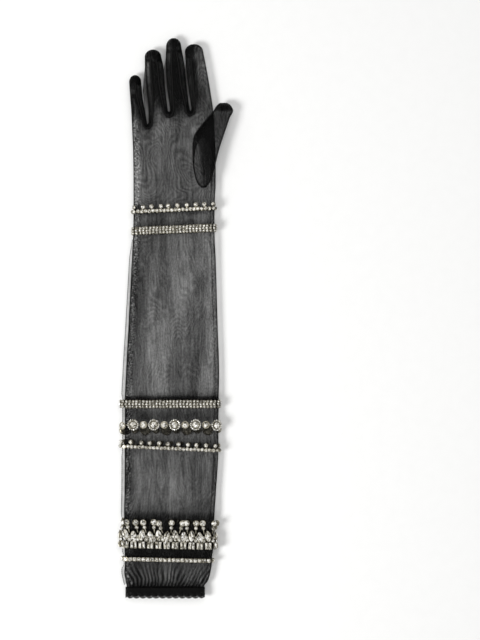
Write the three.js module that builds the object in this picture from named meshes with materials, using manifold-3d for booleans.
// An opera-length tulle glove with rhinestone trims, lying flat with its palm side up.
// Millimetres, +Z up. Fingers point to +Y, the mouth of the sleeve faces -Y, and the thumb is on +X.
// The origin is on the surface that the glove lies on, under the middle of its outline.
// The sleeve and hand are hollow: an arm goes in at the mouth. Each trim is a closed loop round the sleeve.
import * as THREE from 'three';
import { mergeVertices } from 'three/addons/utils/BufferGeometryUtils.js';
import Module from 'manifold-3d';

const wasm = await Module();
wasm.setup();

// Driving sizes
const WALL = 1.0; // tulle, as thick as a modelled cloth wall has to be
const GAP = 0.3; // clearance between neighbouring pieces
const FLOOR_UNDER = -5; // a height below the whole glove
const CEILING = 25; // a height above it
const END_ROUND = 8; // how far in from its edge the flattened sleeve starts to curve
const CHAIN_THICK = 2.4; // a cup chain from its back to the top of its stones
const JEWEL_THICK = 3.4; // the large set stones and the fringe
const EDGE_POINTS = 8; // points on each rounded edge of a section across the arm
const FLAT_POINTS = 3; // points between them on its upper side, and on its lower side
const FINGER_POINTS = 12; // points round a finger section

// Sleeve and hand, outside of the cloth: a row for each section across the arm, mouth first.
// Its upper and lower sides are gathered into pleats of that height where the cuff draws the cloth in.
const ARM = [
  { y: -274, left: -48.4, right: 27.2, bottom: 2.6, top: 11.8 },
  { y: -268, left: -48.5, right: 28.2, bottom: 2.6, top: 11.8, pleat: 0.3 },
  { y: -262, left: -49.6, right: 32.4, bottom: 2.2, top: 12.2, pleat: 0.9 },
  { y: -254, left: -50.8, right: 34.6, bottom: 1.9, top: 12.5, pleat: 1.2 },
  { y: -245, left: -50.2, right: 36.0, bottom: 2.7, top: 12.0 },
  { y: -238, left: -50.2, right: 36.2, bottom: 2.7, top: 12.0 },
  { y: -232, left: -50.4, right: 37.2, bottom: 3.8, top: 12.7 },
  { y: -208, left: -50.2, right: 38.0, bottom: 3.8, top: 12.7 },
  { y: -198, left: -51.0, right: 38.6, bottom: 3.8, top: 12.7 },
  { y: -172, left: -50.6, right: 40.2, bottom: 1.6, top: 12.0 },
  { y: -146, left: -50.4, right: 42.0, bottom: 1.8, top: 12.0 },
  { y: -136, left: -50.4, right: 42.4, bottom: 2.7, top: 12.0 },
  { y: -122, left: -50.2, right: 42.6, bottom: 4.1, top: 12.0 },
  { y: -116, left: -50.2, right: 42.6, bottom: 4.1, top: 12.7 },
  { y: -99, left: -50.2, right: 42.6, bottom: 4.1, top: 12.7 },
  { y: -91, left: -50.2, right: 42.8, bottom: 2.7, top: 12.0 },
  { y: -81, left: -50.2, right: 42.8, bottom: 2.7, top: 12.0 },
  { y: -60, left: -49.4, right: 43.3, bottom: 1.2, top: 11.6 },
  { y: 0, left: -46.3, right: 41.6, bottom: 1.0, top: 11.4 },
  { y: 60, left: -43.2, right: 39.8, bottom: 1.4, top: 11.6 },
  { y: 80, left: -42.2, right: 38.8, bottom: 2.7, top: 12.0 },
  { y: 88, left: -41.8, right: 38.6, bottom: 2.7, top: 12.0 },
  { y: 113, left: -41.6, right: 38.8, bottom: 2.7, top: 12.0 },
  { y: 135, left: -41.6, right: 39.8, bottom: 2.7, top: 12.0 },
  { y: 165, left: -42.0, right: 39.8, bottom: 2.6, top: 12.0 },
  { y: 192, left: -43.0, right: 38.6, bottom: 2.6, top: 11.9 },
];

// Fingers: a row for each section, base first. Each begins inside the hand; the tip closes past the last row.
const FINGERS = {
  little: {
    tip: 242.5,
    rows: [
      { y: 184, left: -42.8, right: -27.0 },
      { y: 205, left: -43.7, right: -30.5 },
      { y: 222, left: -45.0, right: -33.3 },
      { y: 236, left: -45.9, right: -34.7 },
    ],
  },
  ring: {
    tip: 268,
    rows: [
      { y: 184, left: -27.0, right: -1.5 },
      { y: 205, left: -26.5, right: -7.5 },
      { y: 228, left: -28.5, right: -10.5 },
      { y: 250, left: -30.2, right: -12.2 },
      { y: 261, left: -30.3, right: -14.6 },
    ],
  },
  middle: {
    tip: 279.5,
    rows: [
      { y: 184, left: -10.0, right: 20.0 },
      { y: 205, left: -5.0, right: 14.5 },
      { y: 228, left: -7.8, right: 11.3 },
      { y: 252, left: -9.5, right: 8.8 },
      { y: 271, left: -9.0, right: 5.4 },
    ],
  },
  index: {
    tip: 273.5,
    rows: [
      { y: 184, left: 11.0, right: 38.6 },
      { y: 205, left: 16.3, right: 37.5 },
      { y: 228, left: 13.5, right: 34.3 },
      { y: 250, left: 10.8, right: 30.5 },
      { y: 266, left: 9.8, right: 27.3 },
    ],
  },
};
const FINGER_BOTTOM = 2.6;
const FINGER_TOP = 11.9;
const TIP_SECTIONS = [0.5, 0.85, 1]; // sections of a rounded tip, as shares of its length
const TIP_END = 0.12; // size of a tip's last section, as a share of its first

// Fourchettes: the strips between two fingers, which run down one, round the crotch and up the other.
const FOURCHETTE_WIDTH = 5.6;
const FOURCHETTE_BELOW = 5; // how far a strip reaches below its crotch
const FOURCHETTE_BENDS = [6, 16, 30]; // where a strip's edge follows its finger, above the crotch
const FOURCHETTE_HEEL = 0.75; // half the strip's span beside its crotch, in strip widths
const FOURCHETTE_FOOT = 0.3; // half its span at its foot, in strip widths
const FOURCHETTES = [
  { name: 'fourchette_little_ring', left: 'little', right: 'ring', crotch: 192, tops: [234, 257] },
  { name: 'fourchette_ring_middle', left: 'ring', right: 'middle', crotch: 201, tops: [257, 266] },
  { name: 'fourchette_middle_index', left: 'middle', right: 'index', crotch: 202, tops: [266, 261] },
];

// Thumb: a pouch over the oval hole in the palm, from its heel to its tip; drop lowers the free end.
const THUMB = [
  { y: 130, left: 26.5, right: 30.5, drop: 0 },
  { y: 134, left: 22.5, right: 33.5, drop: 0 },
  { y: 142, left: 19.6, right: 37.0, drop: 0 },
  { y: 155, left: 17.6, right: 40.2, drop: 0 },
  { y: 170, left: 17.4, right: 44.0, drop: 0 },
  { y: 179, left: 18.3, right: 47.0, drop: 0 },
  { y: 186, left: 21.5, right: 49.3, drop: 0 },
  { y: 193, left: 27.0, right: 51.7, drop: 0.3 },
  { y: 200, left: 32.5, right: 54.0, drop: 1.6 },
  { y: 207, left: 38.5, right: 57.3, drop: 3.4 },
  { y: 212, left: 41.6, right: 55.0, drop: 4.6 },
  { y: 214.5, left: 44.5, right: 51.5, drop: 5.0 },
];
const PALM_INSIDE_Z = 6; // a height inside the hollow of the palm
const THUMB_EDGE_Z = 13.6; // height of the pouch's edge where it lies on the palm
const THUMB_UNDER = 1.3; // how far its underside hangs below that edge
const THUMB_OVER = 5.9; // how far its upper side stands above it
const THUMB_HOLE = { x: 28.2, y: 155, halfWidth: 8.2, halfLength: 21, sides: 20 };
const THUMB_LEAST = { depth: 0.15, halfWidth: 0.5 }; // how small its hollow gets at the ends

// Side seam: its allowance stands out along the little-finger edge, and lies in narrow folds under the trims.
const SEAM_THICK = 1.0;
const SEAM = [
  { y: -266, wide: 2.4 },
  { y: -250, wide: 3.0 },
  { y: -247, wide: 1.2 },
  { y: -237, wide: 1.2 },
  { y: -234, wide: 2.4 },
  { y: -200, wide: 2.4 },
  { y: -195, wide: 3.2 },
  { y: -138, wide: 3.2 },
  { y: -134, wide: 2.6 },
  { y: -80, wide: 2.6 },
  { y: -76, wide: 3.6 },
  { y: 60, wide: 2.8 },
  { y: 78, wide: 0.8 },
];

// Cuff: an elastic lace band with a scalloped edge, outside the end of the sleeve.
const CUFF = { left: -50.2, right: 29.6, bottom: 1.3, top: 13.1, upper: -269, lower: -276.5 };
const SCALLOPS = 18;
const CUFF_EDGE_POINTS = 14;
const SCALLOP_POINTS = 4;
const SCALLOP_DEPTH = 3;

// Trims: the outside of each loop, its lower edge at x = 0, its width along the arm, and its slope.
const TRIMS = {
  wristDrops: { left: -45.0, right: 42.0, bottom: 0, top: 14.7, y: 105.8, high: 4.0, slope: 0.045 },
  wristBand: { left: -44.6, right: 41.6, bottom: 0, top: 14.7, y: 84.6, high: 7.6, slope: 0.04 },
  forearmBand: { left: -56.6, right: 45.8, bottom: 0, top: 14.7, y: -89.8, high: 8.0, slope: 0 },
  forearmDrops: { left: -57.0, right: 46.0, bottom: 0, top: 14.7, y: -132.3, high: 4.2, slope: -0.045 },
  squares: { left: -54.9, right: 39.6, bottom: 0, top: 14.7, y: -243.6, high: 4.6, slope: -0.022 },
  baguettes: { left: -57.6, right: 42.6, bottom: 0.1, top: 16.4, y: -230.2, high: 7.2, slope: -0.02 },
  marquises: { left: -57.6, right: 42.6, bottom: 0.1, top: 16.4, y: -221.8, high: 8.4, slope: -0.02 },
};
const SETTING_THICK = 2.2; // the metal band that the fringe's stones are set on
const BAGUETTES = { count: 48, wide: 2.8, high: 6.8, pairing: 0.12 };
const MARQUISES = { count: 24, radius: 2.3, long: 1.95, stagger: 0.7 };
// What stands above a chain: its count round the loop, the size of its stone and the length of its stalk.
const WRIST_PICOTS = { count: 20, radius: 2.1, stalk: 2.4, thick: 2.2 };
const FOREARM_PICOTS = { count: 22, radius: 2.1, stalk: 2.4, thick: 2.2 };
const FRINGE_DROPS = { count: 24, radius: 3.0, stalk: 10.0, thick: 3.2 };
const STALK = { wide: 1.8, thickness: 0.6 }; // its thickness is a share of its stone's
const STALK_CLEAR = 0.1; // keeps a stalk's back off the plane of its stone's back
const SMALL_STONE_SIDES = 6;
const STONE_TAPER = 0.62; // the top of a cut stone, as a share of its back
const PLACE_POINTS = 40; // points on each end of a loop, where its length is measured

// The chain of large stones: a halo stone, then a round one, all the way round. STONE_SAG is how far its
// back run hangs below the middle of the loop, and its front run lies above it.
const STONE_PAIRS = 10;
const STONE_SHIFT = 1.6; // where the first one sits, in stones from the loop's lower right corner
const STONE_LOOP = { left: -54.2, right: 44.2, bottom: 3.8, top: 13.0, y: -109.4 };
const STONE_SAG = 3.0;
const HALO = { radius: 6.1, thick: 3.3, sides: 12 };
const ROUND = { radius: 3.8, thick: 2.8, sides: 8 };

const materials = {
  tulle: new THREE.MeshStandardMaterial({ color: 0x1c1c1c, roughness: 0.85, metalness: 0 }),
  fourchette: new THREE.MeshStandardMaterial({ color: 0x101010, roughness: 0.85, metalness: 0 }),
  lace: new THREE.MeshStandardMaterial({ color: 0x0b0b0b, roughness: 0.9, metalness: 0 }),
  rhinestone: new THREE.MeshStandardMaterial({ color: 0xd9d4c6, roughness: 0.15, metalness: 0.8 }),
};

const glove = new THREE.Group();

function addPiece(name, geometry, material) {
  const mesh = new THREE.Mesh(geometry, material);
  mesh.name = name;
  glove.add(mesh);
  return mesh;
}

// A closed geometry from points and triangles, turned so that its faces point out.
function closedGeometry(points, triangles) {
  let volume = 0;
  for (const [a, b, c] of triangles) {
    volume += points[a].dot(new THREE.Vector3().crossVectors(points[b], points[c])) / 6;
  }
  const facing = volume < 0 ? triangles.map(([a, b, c]) => [a, c, b]) : triangles;
  const geometry = new THREE.BufferGeometry().setFromPoints(points);
  geometry.setIndex(facing.flat());
  return geometry;
}

// The triangles between two neighbouring rings of equal length, whose first points are at a and b.
function band(a, b, count) {
  const triangles = [];
  for (let i = 0; i < count; i++) {
    const next = (i + 1) % count;
    triangles.push([a + i, a + next, b + next], [a + i, b + next, b + i]);
  }
  return triangles;
}

// A solid through rings of points, closed at both ends.
function loft(rings) {
  const count = rings[0].length;
  const points = rings.flat();
  const triangles = [];
  for (let i = 0; i < rings.length - 1; i++) {
    triangles.push(...band(i * count, (i + 1) * count, count));
  }
  const last = (rings.length - 1) * count;
  for (const [start, reversed] of [[0, true], [last, false]]) {
    const middle = new THREE.Vector3();
    points.slice(start, start + count).forEach((p) => middle.addScaledVector(p, 1 / count));
    const centre = points.push(middle) - 1;
    for (let i = 0; i < count; i++) {
      const next = start + ((i + 1) % count);
      triangles.push(reversed ? [centre, next, start + i] : [centre, start + i, next]);
    }
  }
  return closedGeometry(points, triangles);
}

// A pipe through rings: an outer and an inner skin, open at both ends.
function pipe(outerRings, innerRings) {
  const count = outerRings[0].length;
  const inner = outerRings.length * count;
  const points = [...outerRings.flat(), ...innerRings.flat()];
  const triangles = [];
  for (let i = 0; i < outerRings.length - 1; i++) {
    triangles.push(...band(i * count, (i + 1) * count, count));
    triangles.push(...band(inner + (i + 1) * count, inner + i * count, count));
  }
  const last = (outerRings.length - 1) * count;
  triangles.push(...band(inner, 0, count));
  triangles.push(...band(last, inner + last, count));
  return closedGeometry(points, triangles);
}

// A flattened section at y: flat above and below, with a half ellipse at each edge. Inset gives its inside.
function flatRing(row, y, inset = 0, slope = 0, edgePoints = EDGE_POINTS, flatPoints = FLAT_POINTS) {
  const halfWidth = (row.right - row.left) / 2 - inset;
  const halfHeight = (row.top - row.bottom) / 2 - inset;
  const middleX = (row.left + row.right) / 2;
  const middleZ = (row.top + row.bottom) / 2;
  const round = Math.min(halfWidth, END_ROUND - inset);
  const flat = halfWidth - round;
  const ring = [];
  for (const side of [1, -1]) {
    for (let i = 0; i < edgePoints; i++) {
      const angle = -Math.PI / 2 + (Math.PI * i) / (edgePoints - 1);
      const x = middleX + side * (flat + round * Math.cos(angle));
      ring.push(new THREE.Vector3(x, y + slope * x, middleZ + side * halfHeight * Math.sin(angle)));
    }
    for (let i = 1; i <= flatPoints; i++) {
      const x = middleX + side * flat * (1 - (2 * i) / (flatPoints + 1));
      const pleat = (i % 2 === 1 ? -1 : 0) * (row.pleat ?? 0);
      ring.push(new THREE.Vector3(x, y + slope * x, middleZ + side * (halfHeight + pleat)));
    }
  }
  return ring;
}

// An elliptical section at y, for a finger.
function ovalRing(left, right, y, inset) {
  const middleZ = (FINGER_TOP + FINGER_BOTTOM) / 2;
  const halfHeight = (FINGER_TOP - FINGER_BOTTOM) / 2 - inset;
  const ring = [];
  for (let i = 0; i < FINGER_POINTS; i++) {
    const angle = (2 * Math.PI * i) / FINGER_POINTS;
    const x = (left + right) / 2 + ((right - left) / 2 - inset) * Math.cos(angle);
    ring.push(new THREE.Vector3(x, y, middleZ + halfHeight * Math.sin(angle)));
  }
  return ring;
}

// A finger closed by a rounded tip; inset gives its inside.
function finger({ tip, rows }, inset) {
  const rings = rows.map((row) => ovalRing(row.left, row.right, row.y, inset));
  const last = rows[rows.length - 1];
  const reach = tip - inset - last.y;
  const middleX = (last.left + last.right) / 2;
  const middleZ = (FINGER_TOP + FINGER_BOTTOM) / 2;
  for (const share of TIP_SECTIONS) {
    const y = last.y + reach * share;
    const size = Math.sqrt(1 - share ** 2) || TIP_END;
    const ring = ovalRing(last.left, last.right, y, inset);
    ring.forEach((p) => p.lerp(new THREE.Vector3(middleX, y, middleZ), 1 - size));
    rings.push(ring);
  }
  return loft(rings);
}

function toSolid(geometry) {
  const bare = geometry.clone();
  bare.deleteAttribute('normal');
  bare.deleteAttribute('uv');
  const merged = mergeVertices(bare, 1e-4);
  return new wasm.Manifold(
    new wasm.Mesh({
      numProp: 3,
      vertProperties: Float32Array.from(merged.attributes.position.array),
      triVerts: Uint32Array.from(merged.index.array),
    }),
  );
}

function toGeometry(solid) {
  const mesh = solid.getMesh();
  const points = [];
  for (let i = 0; i < mesh.numVert; i++) {
    points.push(...mesh.vertProperties.subarray(i * mesh.numProp, i * mesh.numProp + 3));
  }
  const geometry = new THREE.BufferGeometry();
  geometry.setAttribute('position', new THREE.Float32BufferAttribute(points, 3));
  geometry.setIndex([...mesh.triVerts]);
  return geometry;
}

function joined(solids) {
  return solids.reduce((sum, solid) => sum.add(solid));
}

// The value of a table's column at y, in a straight line between its rows.
function at(rows, y, column) {
  if (y <= rows[0].y) return rows[0][column];
  for (let i = 1; i < rows.length; i++) {
    if (y <= rows[i].y) {
      const share = (y - rows[i - 1].y) / (rows[i].y - rows[i - 1].y);
      return THREE.MathUtils.lerp(rows[i - 1][column], rows[i][column], share);
    }
  }
  return rows[rows.length - 1][column];
}

// An upright prism over a plan outline, through the whole height of the hand.
function prism(outline, from, to) {
  const shape = new THREE.Shape(outline.map(([x, y]) => new THREE.Vector2(x, y)));
  const geometry = new THREE.ExtrudeGeometry(shape, { depth: to - from, bevelEnabled: false });
  geometry.translate(0, 0, from);
  return toSolid(geometry);
}

// The plan of one fourchette: a tongue over the gap between two fingers, wider than it on both sides.
function tongue({ left, right, crotch, tops }, margin) {
  const width = FOURCHETTE_WIDTH + margin;
  const leftRows = FINGERS[left].rows;
  const rightRows = FINGERS[right].rows;
  const [leftTop, rightTop] = tops.map((y) => y + margin);
  const foot = crotch - FOURCHETTE_BELOW - margin;
  const side = (rows, column, sign, y) => [at(rows, y, column) + sign * width, y];
  const middle = (at(leftRows, crotch, 'right') + at(rightRows, crotch, 'left')) / 2;
  const heights = FOURCHETTE_BENDS.map((bend) => crotch + bend);
  return [
    [at(leftRows, leftTop, 'right') + 1, leftTop],
    side(leftRows, 'right', -1, leftTop),
    ...heights.toReversed().map((y) => side(leftRows, 'right', -1, Math.min(y, leftTop))),
    [middle - FOURCHETTE_HEEL * width, crotch - 1],
    [middle - FOURCHETTE_FOOT * width, foot],
    [middle + FOURCHETTE_FOOT * width, foot],
    [middle + FOURCHETTE_HEEL * width, crotch - 1],
    ...heights.map((y) => side(rightRows, 'left', 1, Math.min(y, rightTop))),
    side(rightRows, 'left', 1, rightTop),
    [at(rightRows, rightTop, 'left') - 1, rightTop],
  ];
}

// Sleeve, palm and fingers in one hollow shell, less the fourchettes and the oval hole for the thumb.
function makeHandAndSleeve() {
  const fingers = Object.values(FINGERS);
  const outside = joined([
    toSolid(loft(ARM.map((row) => flatRing(row, row.y)))),
    ...fingers.map((f) => toSolid(finger(f, 0))),
  ]);
  const armInside = ARM.map((row) => flatRing(row, row.y, WALL));
  armInside[armInside.length - 1].forEach((p) => (p.y -= WALL));
  armInside[0].forEach((p) => (p.y -= WALL));
  const inside = joined([
    toSolid(loft(armInside)),
    ...fingers.map((f) => toSolid(finger(f, WALL))),
  ]);
  const shell = outside.subtract(inside);
  const between = (f, margin) => prism(tongue(f, margin), FLOOR_UNDER, CEILING);
  const strips = FOURCHETTES.map((f) => shell.intersect(between(f, 0)));
  const cuts = joined(FOURCHETTES.map((f) => between(f, GAP)));
  const body = shell.subtract(cuts).subtract(thumbHole(PALM_INSIDE_Z, CEILING));
  addPiece('tulle_hand_and_sleeve', toGeometry(body), materials.tulle);
  strips.forEach((strip, i) => {
    addPiece(FOURCHETTES[i].name, toGeometry(strip), materials.fourchette);
  });
}

// The oval hole that the thumb is set into.
function thumbHole(from, to) {
  const { x, y, halfWidth, halfLength, sides } = THUMB_HOLE;
  const outline = [];
  for (let i = 0; i < sides; i++) {
    const angle = (2 * Math.PI * i) / sides;
    outline.push([x + halfWidth * Math.cos(angle), y + halfLength * Math.sin(angle)]);
  }
  return prism(outline, from, to);
}

function thumbRing({ y, left, right, drop }, inset) {
  const ring = [];
  for (let i = 0; i < FINGER_POINTS; i++) {
    const angle = (2 * Math.PI * i) / FINGER_POINTS;
    const reach = Math.sin(angle) > 0 ? THUMB_OVER : THUMB_UNDER;
    const depth = Math.max(reach - inset, THUMB_LEAST.depth);
    const halfWidth = Math.max((right - left) / 2 - inset, THUMB_LEAST.halfWidth);
    ring.push(
      new THREE.Vector3(
        (left + right) / 2 + halfWidth * Math.cos(angle),
        y,
        THUMB_EDGE_Z - drop + depth * Math.sin(angle),
      ),
    );
  }
  return ring;
}

function makeThumb() {
  const outside = toSolid(loft(THUMB.map((row) => thumbRing(row, 0))));
  const rows = THUMB.map((row) => ({ ...row }));
  rows[0].y += WALL;
  rows[rows.length - 1].y -= WALL;
  const inside = toSolid(loft(rows.map((row) => thumbRing(row, WALL))));
  const pouch = outside.subtract(inside).subtract(thumbHole(PALM_INSIDE_Z, THUMB_EDGE_Z));
  addPiece('tulle_thumb', toGeometry(pouch), materials.tulle);
}

function makeSideSeam() {
  const inReach = ARM.filter((row) => row.y > SEAM[0].y && row.y < SEAM[SEAM.length - 1].y);
  const heights = [...SEAM, ...inReach].map((row) => row.y).sort((a, b) => a - b);
  const rings = [...new Set(heights)].map((y) => {
    const inner = at(ARM, y, 'left') - GAP;
    const outer = inner - at(SEAM, y, 'wide');
    const z = (at(ARM, y, 'bottom') + at(ARM, y, 'top')) / 2;
    return [
      new THREE.Vector3(outer, y, z - SEAM_THICK / 2),
      new THREE.Vector3(inner, y, z - SEAM_THICK / 2),
      new THREE.Vector3(inner, y, z + SEAM_THICK / 2),
      new THREE.Vector3(outer, y, z + SEAM_THICK / 2),
    ];
  });
  addPiece('side_seam_allowance', loft(rings), materials.tulle);
}

function makeCuff() {
  const flatPoints = (SCALLOPS * SCALLOP_POINTS) / 2 - CUFF_EDGE_POINTS;
  const upper = (inset) => flatRing(CUFF, CUFF.upper, inset, 0, CUFF_EDGE_POINTS, flatPoints);
  const lower = (inset) => {
    const ring = flatRing(CUFF, CUFF.lower, inset, 0, CUFF_EDGE_POINTS, flatPoints);
    ring.forEach((p, i) => {
      p.y -= SCALLOP_DEPTH * Math.abs(Math.sin((Math.PI * i) / SCALLOP_POINTS));
    });
    return ring;
  };
  addPiece('lace_cuff', pipe([lower(0), upper(0)], [lower(WALL), upper(WALL)]), materials.lace);
}

// A trim's plain loop round the sleeve.
function trimLoop(trim, thick, lift = 0) {
  const rings = (inset) =>
    [trim.y, trim.y + trim.high].map((y) => flatRing(trim, y, inset, trim.slope, EDGE_POINTS, 0));
  return pipe(rings(lift), rings(lift + thick));
}

// Places that divide a loop evenly: each has its point, and the direction that faces out of the loop.
function placesRound(loop, inset, count, shift = 0.5) {
  const outline = flatRing(loop, 0, inset, 0, PLACE_POINTS, 0);
  const lengths = [0];
  outline.forEach((p, i) => {
    lengths.push(lengths[i] + p.distanceTo(outline[(i + 1) % outline.length]));
  });
  const total = lengths[outline.length];
  const places = [];
  for (let k = 0; k < count; k++) {
    const wanted = (total * ((k + shift) % count)) / count;
    const i = lengths.findIndex((length) => length > wanted) - 1;
    const from = outline[i];
    const to = outline[(i + 1) % outline.length];
    const point = from.clone().lerp(to, (wanted - lengths[i]) / (lengths[i + 1] - lengths[i]));
    const along = to.clone().sub(from).normalize();
    places.push({ point, out: new THREE.Vector3(along.z, 0, -along.x) });
  }
  return places;
}

// Turns a geometry whose upper side faces +Z to face out at a place, and sets its back there at y.
function setOn(geometry, place, thick, y) {
  const turn = new THREE.Quaternion().setFromUnitVectors(new THREE.Vector3(0, 0, 1), place.out);
  if (place.out.z < -0.99) turn.setFromAxisAngle(new THREE.Vector3(0, 1, 0), Math.PI);
  geometry.applyQuaternion(turn);
  const centre = place.point.clone().addScaledVector(place.out, thick / 2);
  geometry.translate(centre.x, y, centre.z);
  return geometry;
}

// A cut stone: flat-backed, narrower at its top; long stretches it along the arm.
function stone(radius, thick, sides, long = 1) {
  const geometry = new THREE.CylinderGeometry(radius * STONE_TAPER, radius, thick, sides);
  geometry.rotateX(Math.PI / 2);
  geometry.scale(1, long, 1);
  return geometry;
}

// Stones that stand above a chain, each on its stalk.
function crown(trim, inset, { count, radius, stalk, thick }) {
  return placesRound(trim, inset, count).flatMap((place) => {
    const foot = trim.y + trim.high - 1 + trim.slope * place.point.x;
    const top = foot + 1 + stalk;
    const depth = thick * STALK.thickness;
    const stem = new THREE.BoxGeometry(STALK.wide, top - foot, depth);
    return [
      toSolid(setOn(stone(radius, thick, SMALL_STONE_SIDES), place, thick, top)),
      toSolid(setOn(stem, place, depth + STALK_CLEAR, (top + foot) / 2)),
    ];
  });
}

function makeDropChain(name, trim, drops) {
  const solids = [toSolid(trimLoop(trim, CHAIN_THICK)), ...crown(trim, CHAIN_THICK, drops)];
  addPiece(name, toGeometry(joined(solids)), materials.rhinestone);
}

function makeFringe() {
  const lift = JEWEL_THICK - SETTING_THICK;
  const baguettes = placesRound(TRIMS.baguettes, JEWEL_THICK, BAGUETTES.count).map((place, i) => {
    const column = new THREE.BoxGeometry(BAGUETTES.wide, BAGUETTES.high, JEWEL_THICK);
    column.translate((i % 2 === 0 ? 1 : -1) * BAGUETTES.pairing, 0, 0);
    const y = TRIMS.baguettes.y + TRIMS.baguettes.high / 2 + TRIMS.baguettes.slope * place.point.x;
    return toSolid(setOn(column, place, JEWEL_THICK, y));
  });
  const row = joined([toSolid(trimLoop(TRIMS.baguettes, SETTING_THICK, lift)), ...baguettes]);
  addPiece('fringe_baguette_row', toGeometry(row), materials.rhinestone);

  const marquises = placesRound(TRIMS.marquises, JEWEL_THICK, MARQUISES.count, 1).map((place, i) => {
    const cut = stone(MARQUISES.radius, JEWEL_THICK, SMALL_STONE_SIDES, MARQUISES.long);
    const stagger = (i % 2 === 0 ? 1 : -1) * MARQUISES.stagger;
    const y = TRIMS.marquises.y + TRIMS.marquises.high / 2 + TRIMS.marquises.slope * place.point.x;
    return toSolid(setOn(cut, place, JEWEL_THICK, y + stagger));
  });
  const crowned = joined([
    toSolid(trimLoop(TRIMS.marquises, SETTING_THICK, lift)),
    ...marquises,
    ...crown(TRIMS.marquises, JEWEL_THICK, FRINGE_DROPS),
  ]);
  addPiece('fringe_marquise_crown', toGeometry(crowned), materials.rhinestone);
}

function makeBands() {
  addPiece('wrist_stone_band', trimLoop(TRIMS.wristBand, CHAIN_THICK), materials.rhinestone);
  addPiece('forearm_stone_band', trimLoop(TRIMS.forearmBand, CHAIN_THICK), materials.rhinestone);
  addPiece('square_stone_chain', trimLoop(TRIMS.squares, CHAIN_THICK), materials.rhinestone);
}

function makeStoneChain() {
  const { bottom, top, y } = STONE_LOOP;
  placesRound(STONE_LOOP, 0, STONE_PAIRS * 2, STONE_SHIFT).forEach((place, i) => {
    const height = (2 * place.point.z - top - bottom) / (top - bottom);
    const number = String(Math.floor(i / 2) + 1).padStart(2, '0');
    const { radius, thick, sides } = i % 2 === 0 ? HALO : ROUND;
    const name = (i % 2 === 0 ? 'halo_stone_' : 'round_stone_') + number;
    const cut = setOn(stone(radius, thick, sides), place, thick, y + STONE_SAG * height);
    addPiece(name, cut, materials.rhinestone);
  });
}

makeHandAndSleeve();
makeThumb();
makeSideSeam();
makeCuff();
makeDropChain('wrist_drop_chain', TRIMS.wristDrops, WRIST_PICOTS);
makeDropChain('forearm_drop_chain', TRIMS.forearmDrops, FOREARM_PICOTS);
makeBands();
makeStoneChain();
makeFringe();

export default glove;
